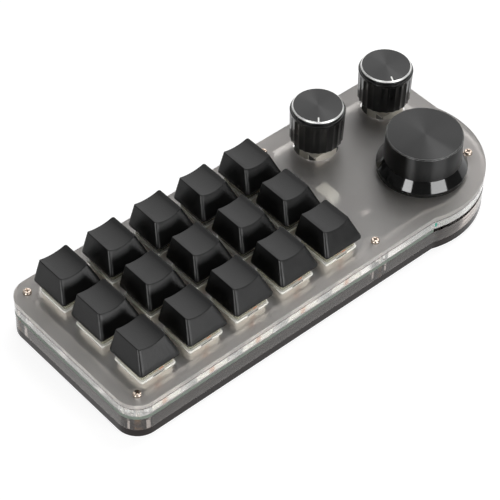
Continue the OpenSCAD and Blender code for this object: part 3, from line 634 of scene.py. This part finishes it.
def addKeycaps(shape):
    low, high = boxOf("keycap_" + keyNames[0])
    width, height = high.x - low.x, high.z - low.z
    bm = startBlock(width, width, height)
    bevelEdges(bm, uprightEdges(bm), shape["cornerRadius"], 6)
    for level in shape["levels"]:
        cutAcross(bm, (0, 0, level), (0, 0, 1))
    for strip in range(1, shape["strips"]):
        cutAcross(bm, ((strip / shape["strips"] - 0.5) * (width - 2 * shape["cornerRadius"]), 0, 0), (1, 0, 0))
    halfTop = shape["topWidth"] / 2
    for vert in bm.verts:
        if vert.co.z > height - 0.01:
            across = min(abs(vert.co.x) * shape["topWidth"] / width, halfTop)
            vert.co.z -= (math.sqrt(shape["dishRadius"] ** 2 - across ** 2)
                          - math.sqrt(shape["dishRadius"] ** 2 - halfTop ** 2))
        share = max(0, vert.co.z - shape["rimHeight"]) / (height - shape["rimHeight"])
        vert.co.x *= 1 + (shape["topWidth"] / width - 1) * share
        vert.co.y = vert.co.y * (1 + (shape["topDepth"] / width - 1) * share) + shape["topBack"] * share
    tops = set(facesFacing(bm, (0, 0, 1), 0.85))
    bevelEdges(bm, [e for e in bm.edges if sum(f in tops for f in e.link_faces) == 1], shape["topRounding"], 3)
    bmesh.ops.delete(bm, geom=facesFacing(bm, (0, 0, -1)), context="FACES")
    bmesh.ops.recalc_face_normals(bm, faces=bm.faces)
    bmesh.ops.solidify(bm, geom=bm.faces, thickness=shape["wall"])
    bore, radius = shape["postBore"], shape["postRadius"]
    foot, ceiling = shape["postFoot"], height - shape["postDrop"]
    post = turnProfile([(bore, foot), (radius, foot), (radius, ceiling), (bore, ceiling)], 32, True)
    addCopy(bm, post, (0, 0, 0))
    post.free()
    for key in keyNames:
        low, high = boxOf("keycap_" + key)
        place = ((low.x + high.x) / 2, (low.y + high.y) / 2, low.z)
        piece = finishPiece("cap_" + key, bm.copy(), place, "keycap_" + key, "keycap_abs", sharp=40)
        piece.modifiers.new("weighted", "WEIGHTED_NORMAL").weight = 90
    bm.free()


addKeycaps(keycapShape)
print("keycaps modelled")


# Switch housing: a flange with a slot in its front face over a hollow body that passes the plate; the guide tube
# stands on its floor and its bore goes down into the locating pin
housingShape = {
    "flangeWidth": 15.6, "flangeHeight": 1.0, "flangeCorner": 0.7, "bodyWidth": 13.9, "wall": 0.8,
    "bodyCorner": 0.4, "floor": 1.0, "slotHalf": 2.6, "slotLow": 0.22, "slotHigh": 0.8, "slotDepth": 1.4,
    "pinRadius": 2.0, "pinLength": 3.2, "pinFloor": 0.8, "pinChamfer": 0.3, "bore": 1.67, "tubeRadius": 2.38,
    "tubeHeight": 1.6, "tubeSunk": 0.02, "holeRadius": 2.1, "rounding": 0.1,
}


def flangeFront(bm, shape):
    front = 0.01 - shape["flangeWidth"] / 2
    return [f for f in bm.faces if abs(f.normal.y) > 0.9 and f.calc_center_median().y < front]


def addHousing(key, shape):
    flange, body, corner = shape["flangeWidth"], shape["bodyWidth"], shape["bodyCorner"]
    flangeTop, flangeCorner = shape["flangeHeight"], shape["flangeCorner"]
    pocket = body - 2 * shape["wall"]
    foot = boardTop - plateTop
    floor = foot + shape["floor"]
    hole = (2 * shape["holeRadius"], 2 * shape["holeRadius"], shape["holeRadius"])
    bm = bmesh.new()
    stackRings(bm, [
        (*hole, floor), (pocket, pocket, corner, floor), (pocket, pocket, corner, flangeTop),
        (flange, flange, flangeCorner, flangeTop), (flange, flange, flangeCorner, 0),
        (body, body, corner, 0), (body, body, corner, foot), (*hole, foot)], True)
    half, slotLow, slotHigh = shape["slotHalf"], shape["slotLow"], shape["slotHigh"]
    for point, normal in (((-half, 0, 0), (1, 0, 0)), ((half, 0, 0), (1, 0, 0)),
                          ((0, 0, slotLow), (0, 0, 1)), ((0, 0, slotHigh), (0, 0, 1))):
        around = {part for face in flangeFront(bm, shape) for part in (*face.verts, *face.edges, face)}
        bmesh.ops.bisect_plane(bm, geom=list(around), plane_co=point, plane_no=normal)
        bm.normal_update()
    slot = [f for f in flangeFront(bm, shape)
            if abs(f.calc_center_median().x) < 0.1 and slotLow < f.calc_center_median().z < slotHigh]
    pushFaces(bm, slot, (0, shape["slotDepth"], 0))
    low, high, seam = foot - shape["pinLength"], floor + shape["tubeHeight"], foot - shape["tubeSunk"]
    pin, chamfer, tube = shape["pinRadius"], shape["pinChamfer"], shape["tubeRadius"]
    guide = turnProfile([
        (0, low), (pin - chamfer, low), (pin, low + chamfer), (pin, seam), (tube, seam),
        (tube, high), (shape["bore"], high), (shape["bore"], low + shape["pinFloor"]),
        (0, low + shape["pinFloor"])], 32)
    bmesh.ops.remove_doubles(guide, verts=guide.verts, dist=0.0005)
    addCopy(bm, guide, (0, 0, 0))
    guide.free()
    place = keyPlaces[key]
    piece = finishPiece("housing_" + key, bm, (*place.xy, plateTop), "switch_bases", "switch_base_plastic")
    roundEdges(piece, shape["rounding"])


# Clear cover: a low rim, a hood that narrows upwards and an opening for the stem's neck
coverShape = {
    "rim": (14.2, 14.2, 0.5), "rimHeight": 1.0, "hoodFoot": (13.6, 13.6, 0.8), "top": (10.4, 8.8, 0.7),
    "height": 5.6, "neck": (7.2, 6.2, 0.3), "innerTop": (9.2, 7.6, 0.4), "innerFoot": (12.0, 12.0, 0.5),
    "wall": 0.8, "rounding": 0.18, "foot": 1.0,
}


def addCover(key, shape):
    bm = bmesh.new()
    top = shape["height"]
    stackRings(bm, [
        (*shape["innerFoot"], 0), (*shape["rim"], 0), (*shape["rim"], shape["rimHeight"]),
        (*shape["hoodFoot"], shape["rimHeight"]), (*shape["top"], top), (*shape["neck"], top),
        (*shape["neck"], top - shape["wall"]), (*shape["innerTop"], top - shape["wall"]),
        (*shape["innerFoot"], shape["rimHeight"])], True)
    place = keyPlaces[key]
    piece = finishPiece("cover_" + key, bm, (*place.xy, plateTop + shape["foot"]), "switch_covers",
                        "switch_clear_plastic")
    roundEdges(piece, shape["rounding"])


# Switch spring: round wire wound round the guide tube, between the housing's floor and the stem's slider
springShape = {"wire": 0.22, "coilRadius": 2.7, "turns": 9, "height": 6.4, "stepsPerTurn": 20, "travel": 4.0}


def addSpring(key, shape):
    bm = bmesh.new()
    ring = bmesh.ops.create_circle(
        bm, cap_ends=False, segments=8, radius=shape["wire"],
        matrix=Matrix.Translation((shape["coilRadius"], 0, shape["wire"])) @
        Matrix.Rotation(math.pi / 2, 4, "X"))["verts"]
    steps = shape["turns"] * shape["stepsPerTurn"]
    rise = (shape["height"] - 2 * shape["wire"]) / steps
    bmesh.ops.spin(bm, geom=ring + bm.edges[:], cent=(0, 0, 0), axis=(0, 0, 1), dvec=(0, 0, rise),
                   angle=fullTurn * shape["turns"], steps=steps, use_merge=False, use_duplicate=False)
    bmesh.ops.holes_fill(bm, edges=[e for e in bm.edges if len(e.link_faces) == 1])
    place = keyPlaces[key]
    low = boxOf("switch_springs")[0].z
    piece = finishPiece("spring_" + key, bm, (*place.xy, low), "switch_springs", "spring_steel", sharp=60)
    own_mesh(piece)


for key in keyNames:
    addHousing(key, housingShape)
    addCover(key, coverShape)
    addSpring(key, springShape)
print("switches modelled")


# Small knob: flutes with round ends between a plain foot and a plain band, a socket and a shaft hole below
# Its rings: foot as (inward, height, share of the flutes' depth), band and shoulder as (inward, below the top)
smallKnobShape = {
    "radius": 10.9, "footRadius": 10.5, "height": 14.8, "flutes": 24, "fluteDepth": 0.26, "cutterRadius": 3.0,
    "fluteHigh": 13.6, "endShare": 0.5, "endRings": 10, "perFlute": 14,
    "foot": ((0.5, 0.0, 0.6), (0.15, 0.15, 0.9)), "sideRings": (0.5, 4.0, 7.5),
    "band": ((0.0, 0.5), (0.08, 0.3)), "shoulder": ((-0.2, 0.04), (0.0, 0.0)), "shoulderRadius": 10.35,
    "socketRadius": 4.4, "socketHeight": 3.0, "shaftRadius": 3.02, "shaftHole": 11.5,
}


def addSmallKnob(side, shape):
    segments = shape["flutes"] * shape["perFlute"]
    pitch = fullTurn / shape["flutes"]
    cutter, top, ends = shape["cutterRadius"], shape["height"], shape["endRings"]
    endRise = shape["endShare"] * math.sqrt(cutter ** 2 - (cutter - shape["fluteDepth"]) ** 2)
    endLow = shape["fluteHigh"] - endRise
    slope = (shape["radius"] - shape["footRadius"]) / top
    heights = [*shape["sideRings"], endLow]
    heights += [shape["fluteHigh"] - endRise * (1 - i / ends) for i in range(1, ends + 1)]
    rings = [(shape["footRadius"] - inward, height, share) for inward, height, share in shape["foot"]]
    rings += [(shape["footRadius"] + slope * height, height, 1.0) for height in heights]
    for edge, steps in (("radius", "band"), ("shoulderRadius", "shoulder")):
        rings += [(shape[edge] - inward, top - below, 0.0) for inward, below in shape[steps]]
    bm = bmesh.new()
    shaft, socket, socketTop = shape["shaftRadius"], shape["socketRadius"], shape["socketHeight"]
    bmesh.ops.create_circle(
        bm, cap_ends=False, segments=segments, radius=shaft,
        matrix=Matrix.Translation((0, 0, shape["shaftHole"])))
    inner = [(shaft, socketTop, 0.0), (socket, socketTop, 0.0), (socket, 0.0, 0.0)]
    bmesh.ops.contextual_create(bm, geom=bm.edges[:])
    edges = bm.edges[:]
    for radius, height, share in inner + rings:
        edges, verts = growEdges(bm, edges)
        for vert in verts:
            angle = math.atan2(vert.co.y, vert.co.x)
            off = ((angle / pitch + 0.5) % 1 - 0.5) * pitch * radius
            above = max(0.0, height - endLow) / shape["endShare"]
            reach = max(0.0, cutter ** 2 - off ** 2 - above ** 2)
            depth = share * max(0.0, math.sqrt(reach) - (cutter - shape["fluteDepth"]))
            vert.co = ((radius - depth) * math.cos(angle), (radius - depth) * math.sin(angle), height)
    bmesh.ops.contextual_create(bm, geom=edges)
    place = knobPlaces[side]
    finishPiece(side + "FlutedBody", bm, (*place.xy, boxOf(side + "_knob")[0].z), side + "_knob",
                "knob_gloss_plastic", sharp=24)


# Small knob's top: a spun dark disc, a bright cut chamfer round it and a white line inlaid towards the rim
discShape = {
    "radius": 9.62, "rimRadius": 10.1, "rimHeight": 0.9, "thickness": 1.5, "gap": 0.02, "sunk": 0.03,
    "ringSunk": 0.005, "segments": 128, "lineLength": 2.6, "lineWidth": 0.6, "lineDepth": 0.2,
    "lineCorner": 0.12, "lineTurn": {"left": -131, "right": -118},
}


def addDisc(side, shape):
    node = side + "_knob_disc"
    place = (*knobPlaces[side].xy, boxOf(node)[0].z)
    radius, rim, lip, gap = shape["radius"], shape["rimRadius"], shape["rimHeight"], shape["gap"]
    top, ringTop = shape["thickness"] - shape["sunk"], shape["thickness"] - shape["ringSunk"]
    disc = turnProfile([(0, 0), (rim, 0), (rim, lip - gap), (radius - gap, lip - gap), (radius - gap, top),
                        (0, top)], shape["segments"])
    finishPiece(side + "SpunDisc", disc, place, node, "knob_disc_aluminium", side + "Disc")
    ring = turnProfile([(radius, lip), (rim + gap, lip), (radius + 2 * gap, ringTop), (radius, ringTop)],
                       shape["segments"], True)
    finishPiece(side + "CutChamfer", ring, place, node, "bright_cut_aluminium", "brightCut")
    line = startBlock(shape["lineLength"], shape["lineWidth"], shape["lineDepth"],
                      top + 0.5 * shape["sunk"] - shape["lineDepth"])
    bmesh.ops.translate(line, vec=(radius - shape["lineLength"] / 2, 0, 0), verts=line.verts)
    bevelEdges(line, uprightEdges(line), shape["lineCorner"], 3)
    bmesh.ops.rotate(line, cent=(0, 0, 0), verts=line.verts,
                     matrix=Matrix.Rotation(math.radians(shape["lineTurn"][side]), 3, "Z"))
    finishPiece(side + "PointerLine", line, place, node, "pointer_paint", "pointerPaint")


for side in ("left", "right"):
    addSmallKnob(side, smallKnobShape)
    addDisc(side, discShape)


# Large knob: a spun metal cap over a glossy core that flares into a skirt
bigKnobShape = {
    "topRadius": 15.0, "edge": 0.35, "edgeBulge": (0.3, 0.25), "edgeProud": 0.015, "footRadius": 15.3,
    "footEdge": 0.12, "capWall": 1.4, "skirtRadius": 17.9, "rimHeight": 2.2, "slopeHeight": 3.9,
    "footRounding": 0.3, "coreRadius": 13.2, "coreDrop": 1.7, "underRadius": 11.8, "underDrop": 3.1,
    "socketRadius": 4.4, "socketHeight": 5.5, "shaftRadius": 3.02, "segments": 192,
}


def addBigKnob(shape):
    low, high = boxOf("big_knob_cap")
    height = high.z - low.z
    place = knobPlaces["big"]
    radius, edge, proud = shape["topRadius"], shape["edge"], shape["edgeProud"]
    foot, footEdge, wall = shape["footRadius"], shape["footEdge"], shape["capWall"]
    inward, below = shape["edgeBulge"]
    cap = turnProfile([
        (0, height), (radius - edge, height), (radius - inward * edge, height - below * edge),
        (radius, height - edge), (foot, footEdge), (foot - footEdge, 0), (radius - edge - wall, 0),
        (radius - edge - wall, height - wall), (0, height - wall)], shape["segments"])
    finishPiece("bigSpunCap", cap, (*place.xy, low.z), "big_knob_cap", "cap_anodised_aluminium", "bigTop",
                sharp=25)
    ring = turnProfile([(radius - edge, height + proud), (radius + proud, height - edge),
                        (radius - edge, height - edge)], shape["segments"], True)
    finishPiece("bigCutEdge", ring, (*place.xy, low.z), "big_knob_cap", "bright_cut_aluminium", "brightCut")
    skirtLow = boxOf("big_knob_skirt")[0].z
    top = shape["rimHeight"] + shape["slopeHeight"]
    coreTop, underTop = height + top - shape["coreDrop"], height + top - shape["underDrop"]
    core, under, skirtFoot = shape["coreRadius"], shape["underRadius"], shape["footRounding"]
    outer, socket, socketTop, shaft = (shape[name] for name in (
        "skirtRadius", "socketRadius", "socketHeight", "shaftRadius"))
    skirt = turnProfile([
        (core, coreTop), (core, top), (foot, top), (outer, shape["rimHeight"]),
        (outer, skirtFoot), (outer - skirtFoot, 0), (under, 0), (under, underTop),
        (socket, underTop), (socket, socketTop), (shaft, socketTop), (shaft, coreTop)],
                        shape["segments"], True)
    finishPiece("bigFlaredSkirt", skirt, (*place.xy, skirtLow), "big_knob_skirt", "skirt_gloss_plastic",
                sharp=20)


addBigKnob(bigKnobShape)
print("knobs modelled")


# Top screws: a low dome with a tapered cross recess, and a plain shank down into the standoff; for each screw its
# place and the turn of its cross in degrees
screwShape = {
    "flatRadius": 1.25, "slotLength": 2.1, "slotWidth": 0.55, "recess": 0.95, "taper": 0.6,
    "dome": ((1.45, -0.12), (1.62, -0.32), (1.7, -0.62), (1.66, -1.3), (1.0, -1.3)), "shank": 1.0,
    "screws": ((-90.6, -30.7, 20), (-90.6, 32.7, 65), (24.4, -30.7, 8), (24.4, 32.7, 50), (89.0, 32.7, 33),
               (85.81, -19.49, 78)),
}


def addTopScrews(shape):
    low, high = boxOf("top_screws")
    screw = bmesh.new()
    bmesh.ops.create_circle(screw, cap_ends=True, segments=32, radius=shape["flatRadius"])
    for half in (shape["slotWidth"] / 2, shape["slotLength"] / 2):
        for way in ((1, 0, 0), (-1, 0, 0), (0, 1, 0), (0, -1, 0)):
            cutAcross(screw, [half * part for part in way], way)
    cross = []
    for face in screw.faces:
        near, far = sorted(abs(part) for part in face.calc_center_median()[:2])
        if near < shape["slotWidth"] / 2 and far < shape["slotLength"] / 2:
            cross.append(face)
    pushFaces(screw, cross, (0, 0, -shape["recess"]), shape["taper"])
    edges = [edge for edge in screw.edges if len(edge.link_faces) == 1]
    for radius, height in (*shape["dome"], (shape["shank"], low.z - high.z)):
        edges, verts = growEdges(screw, edges)
        for vert in verts:
            vert.co = (*(vert.co.xy.normalized() * radius), height)
    bmesh.ops.contextual_create(screw, geom=edges)
    bm = bmesh.new()
    for x, y, turn in shape["screws"]:
        addCopy(bm, screw, (x, y, 0), turn)
    screw.free()
    finishPiece("crossScrews", bm, (0, 0, high.z), "top_screws", "nickel_screw", sharp=35)


addTopScrews(screwShape)


# On the board: a pale connector close under the plate, the controller chip, its crystal and a diode for each key;
# corners and edges are (radius, segments)
boardShape = {
    "block": (5.8, 8.9, 3.7), "blockAt": (30.2, 1.9), "blockCorner": (1.2, 6), "blockEdge": (0.25, 3),
    "chip": (7.0, 7.0, 1.2), "chipAt": (35.6, -7.0), "chipLift": 0.1, "chipEdge": (0.12, 2), "pins": 8,
    "pin": (0.35, 0.6, 0.18), "pinPitch": 0.75, "pinOut": 0.2, "pinCorner": (0.06, 1),
    "crystal": (3.2, 2.5, 0.8), "crystalAt": (35.6, -14.0), "crystalCorner": (0.4, 4), "crystalEdge": (0.12, 2),
    "diode": (2.7, 1.6, 1.1), "diodeFromKey": (7.9, 7.3), "diodeEdge": (0.15, 2),
}


def roundedBlock(size, corner, edge):
    bm = startBlock(*size)
    bevelEdges(bm, uprightEdges(bm), *corner)
    bevelEdges(bm, [e for face in facesFacing(bm, (0, 0, 1)) for e in face.edges], *edge)
    return bm


def addBoardParts(shape):
    block = roundedBlock(shape["block"], shape["blockCorner"], shape["blockEdge"])
    finishPiece("paleConnector", block, (*shape["blockAt"], boardTop), "board_parts", "board_part_plastic")
    width, depth, height = shape["chip"]
    chip = startBlock(width, depth, height - shape["chipLift"], shape["chipLift"])
    bevelEdges(chip, chip.edges[:], *shape["chipEdge"])
    finishPiece("controllerChip", chip, (*shape["chipAt"], boardTop), "board_parts", "black_insulator")
    pins = bmesh.new()
    pin = startBlock(*shape["pin"])
    bevelEdges(pin, uprightEdges(pin), *shape["pinCorner"])
    for side in range(4):
        for number in range(shape["pins"]):
            along = (number - (shape["pins"] - 1) / 2) * shape["pinPitch"]
            place = Matrix.Rotation(side * fullTurn / 4, 3, "Z") @ Vector((along, -depth / 2 - shape["pinOut"], 0))
            addCopy(pins, pin, place, side * 90)
    pin.free()
    finishPiece("chipPins", pins, (*shape["chipAt"], boardTop), "board_parts", "socket_steel")
    crystal = roundedBlock(shape["crystal"], shape["crystalCorner"], shape["crystalEdge"])
    finishPiece("crystalCan", crystal, (*shape["crystalAt"], boardTop), "board_parts", "socket_steel")
    diodes = bmesh.new()
    diode = startBlock(*shape["diode"])
    bevelEdges(diode, diode.edges[:], *shape["diodeEdge"])
    asideX, asideY = shape["diodeFromKey"]
    for place in keyPlaces.values():
        addCopy(diodes, diode, (place.x + asideX, place.y + asideY, 0))
    diode.free()
    finishPiece("keyDiodes", diodes, (0, 0, boxOf("board_parts")[0].z), "board_parts", "black_insulator")


addBoardParts(boardShape)
print("screws and board parts modelled")


# The finish of each carried-over node, and the rounding of its edges in millimetres
keptNodes = {
    "top_plate": ("frosted_acrylic", 0.18), "upper_spacer": ("clear_acrylic", 0.10),
    "circuit_board": ("circuit_board", 0.05), "lower_spacer": ("smoked_clear_acrylic", 0.10),
    "bottom_plate": ("black_acrylic", 0.20), "rubber_feet": ("rubber_foot", 0.4),
    "standoffs": ("brass_standoff", 0.10), "bottom_screws": ("nickel_screw", 0.08),
    "switch_contacts": ("copper_contact", 0.04), "port_socket": ("socket_steel", 0.08),
    "port_tongue": ("black_insulator", 0.06), "encoder_bases": ("encoder_plastic", 0.12),
    "encoder_cages": ("encoder_steel", 0.08),
}
for side in ("left", "right", "big"):
    keptNodes[side + "_pusher"] = ("pusher_plastic", 0.08)
    keptNodes[side + "_shaft"] = ("shaft_metal", 0.10)
for key in keyNames:
    keptNodes["stem_" + key] = ("stem_pom", 0.08)
airGap = 0.02     # sheets that lie on each other keep a film of air, which makes their faces mirror from inside


def dressNode(name, slot, rounding):
    node = frame["nodes"][name]
    node.data.materials.clear()
    node.data.materials.append(materials[slot])
    node.data.shade_smooth()
    node.modifiers.new("weld", "WELD").merge_threshold = 0.000001
    flat = node.modifiers.new("flatFaces", "DECIMATE")
    flat.decimate_type = "DISSOLVE"
    flat.angle_limit = math.radians(1)
    if "acrylic" in slot:
        film = node.modifiers.new("airFilm", "DISPLACE")
        film.mid_level = 0
        film.strength = -airGap * mm
    roundEdges(node, rounding)


for name, (slot, rounding) in keptNodes.items():
    dressNode(name, slot, rounding)
print("nodes dressed:", len(keptNodes))


# Floor, lamps and world

stageLook = {
    "floorSize": 4.0, "floorColour": "#8c8c8c", "floorGlow": 0.84, "farGlow": 0.12, "nearGlow": 0.92,
    "glowFrom": (0.35, 1.0), "fill": 0.35, "brightWay": (0.39, 0.43, 0.81),
}


# 1 for rays from the camera, and 1 for those and their mirrored and refracted rays
def seenShares(tree):
    path = addNode(tree, "ShaderNodeLightPath", {}).node.outputs
    camera = path["Is Camera Ray"]
    return camera, joinShares(tree, "MAXIMUM", camera, path["Is Glossy Ray"], path["Is Transmission Ray"])


def addStage(look):
    bm = bmesh.new()
    bmesh.ops.create_grid(bm, x_segments=1, y_segments=1, size=look["floorSize"] / 2)
    mesh = bpy.data.meshes.new("floor")
    bm.to_mesh(mesh)
    bm.free()
    floor = addObject("floor", mesh)
    material, tree, shader = startMaterial("paperFloor", look["floorColour"], 0.9)
    shader.inputs["Emission Color"].default_value = (1, 1, 1, 1)
    drive(shader, "Emission Strength", spread(tree, seenShares(tree)[1], 0.0, look["floorGlow"], 0, 1))
    mesh.materials.append(material)


# The studio is bright behind and above the object and dim at its front; the camera sees plain white
def addWorld(look):
    world = bpy.data.worlds.new("studio")
    bpy.context.scene.world = world
    world.use_nodes = True
    sky = world.node_tree
    way = addNode(sky, "ShaderNodeTexCoord", {}, "Generated")
    facing = addNode(sky, "ShaderNodeVectorMath", {0: way, 1: look["brightWay"]}, "Value", operation="DOT_PRODUCT")
    glow = spread(sky, facing, look["farGlow"], look["nearGlow"], *look["glowFrom"])
    camera, seen = seenShares(sky)
    level = joinShares(sky, "MULTIPLY", glow, spread(sky, seen, look["fill"], 1.0, 0, 1))
    background = sky.nodes["Background"]
    background.inputs["Color"].default_value = (1, 1, 1, 1)
    drive(background, "Strength", joinShares(sky, "MAXIMUM", level, camera))


# Each lamp is a softbox: direction and height as seen from the middle of the keypad, in degrees
softboxes = {
    "overhead": {"azimuth": 120, "elevation": 44, "distance": 0.5, "width": 0.7, "height": 0.55, "power": 1.38},
    "fanLight": {"azimuth": 95, "elevation": 62, "distance": 1.0, "width": 0.4, "height": 0.4, "power": 1.5},
    "leftStrip": {"azimuth": -74, "elevation": 17, "distance": 0.9, "width": 0.32, "height": 0.30, "power": 4.0},
    "frontStrip": {"azimuth": 2, "elevation": 17, "distance": 0.9, "width": 0.54, "height": 0.30, "power": 5.3},
}


def addSoftbox(name, look):
    away = wayTo(math.radians(look["azimuth"]), math.radians(look["elevation"]))
    data = bpy.data.lights.new(name, "AREA")
    data.shape = "RECTANGLE"
    data.size = look["width"]
    data.size_y = look["height"]
    data.energy = look["power"]
    lamp = addObject(name, data)
    turn = away.to_track_quat("Z", "Y").to_matrix().to_4x4()
    lamp.matrix_world = Matrix.Translation(away * look["distance"]) @ turn


addStage(stageLook)
addWorld(stageLook)
for name, look in softboxes.items():
    addSoftbox(name, look)
bpy.context.scene.view_settings.view_transform = "Standard"
print("stage and lamps set")
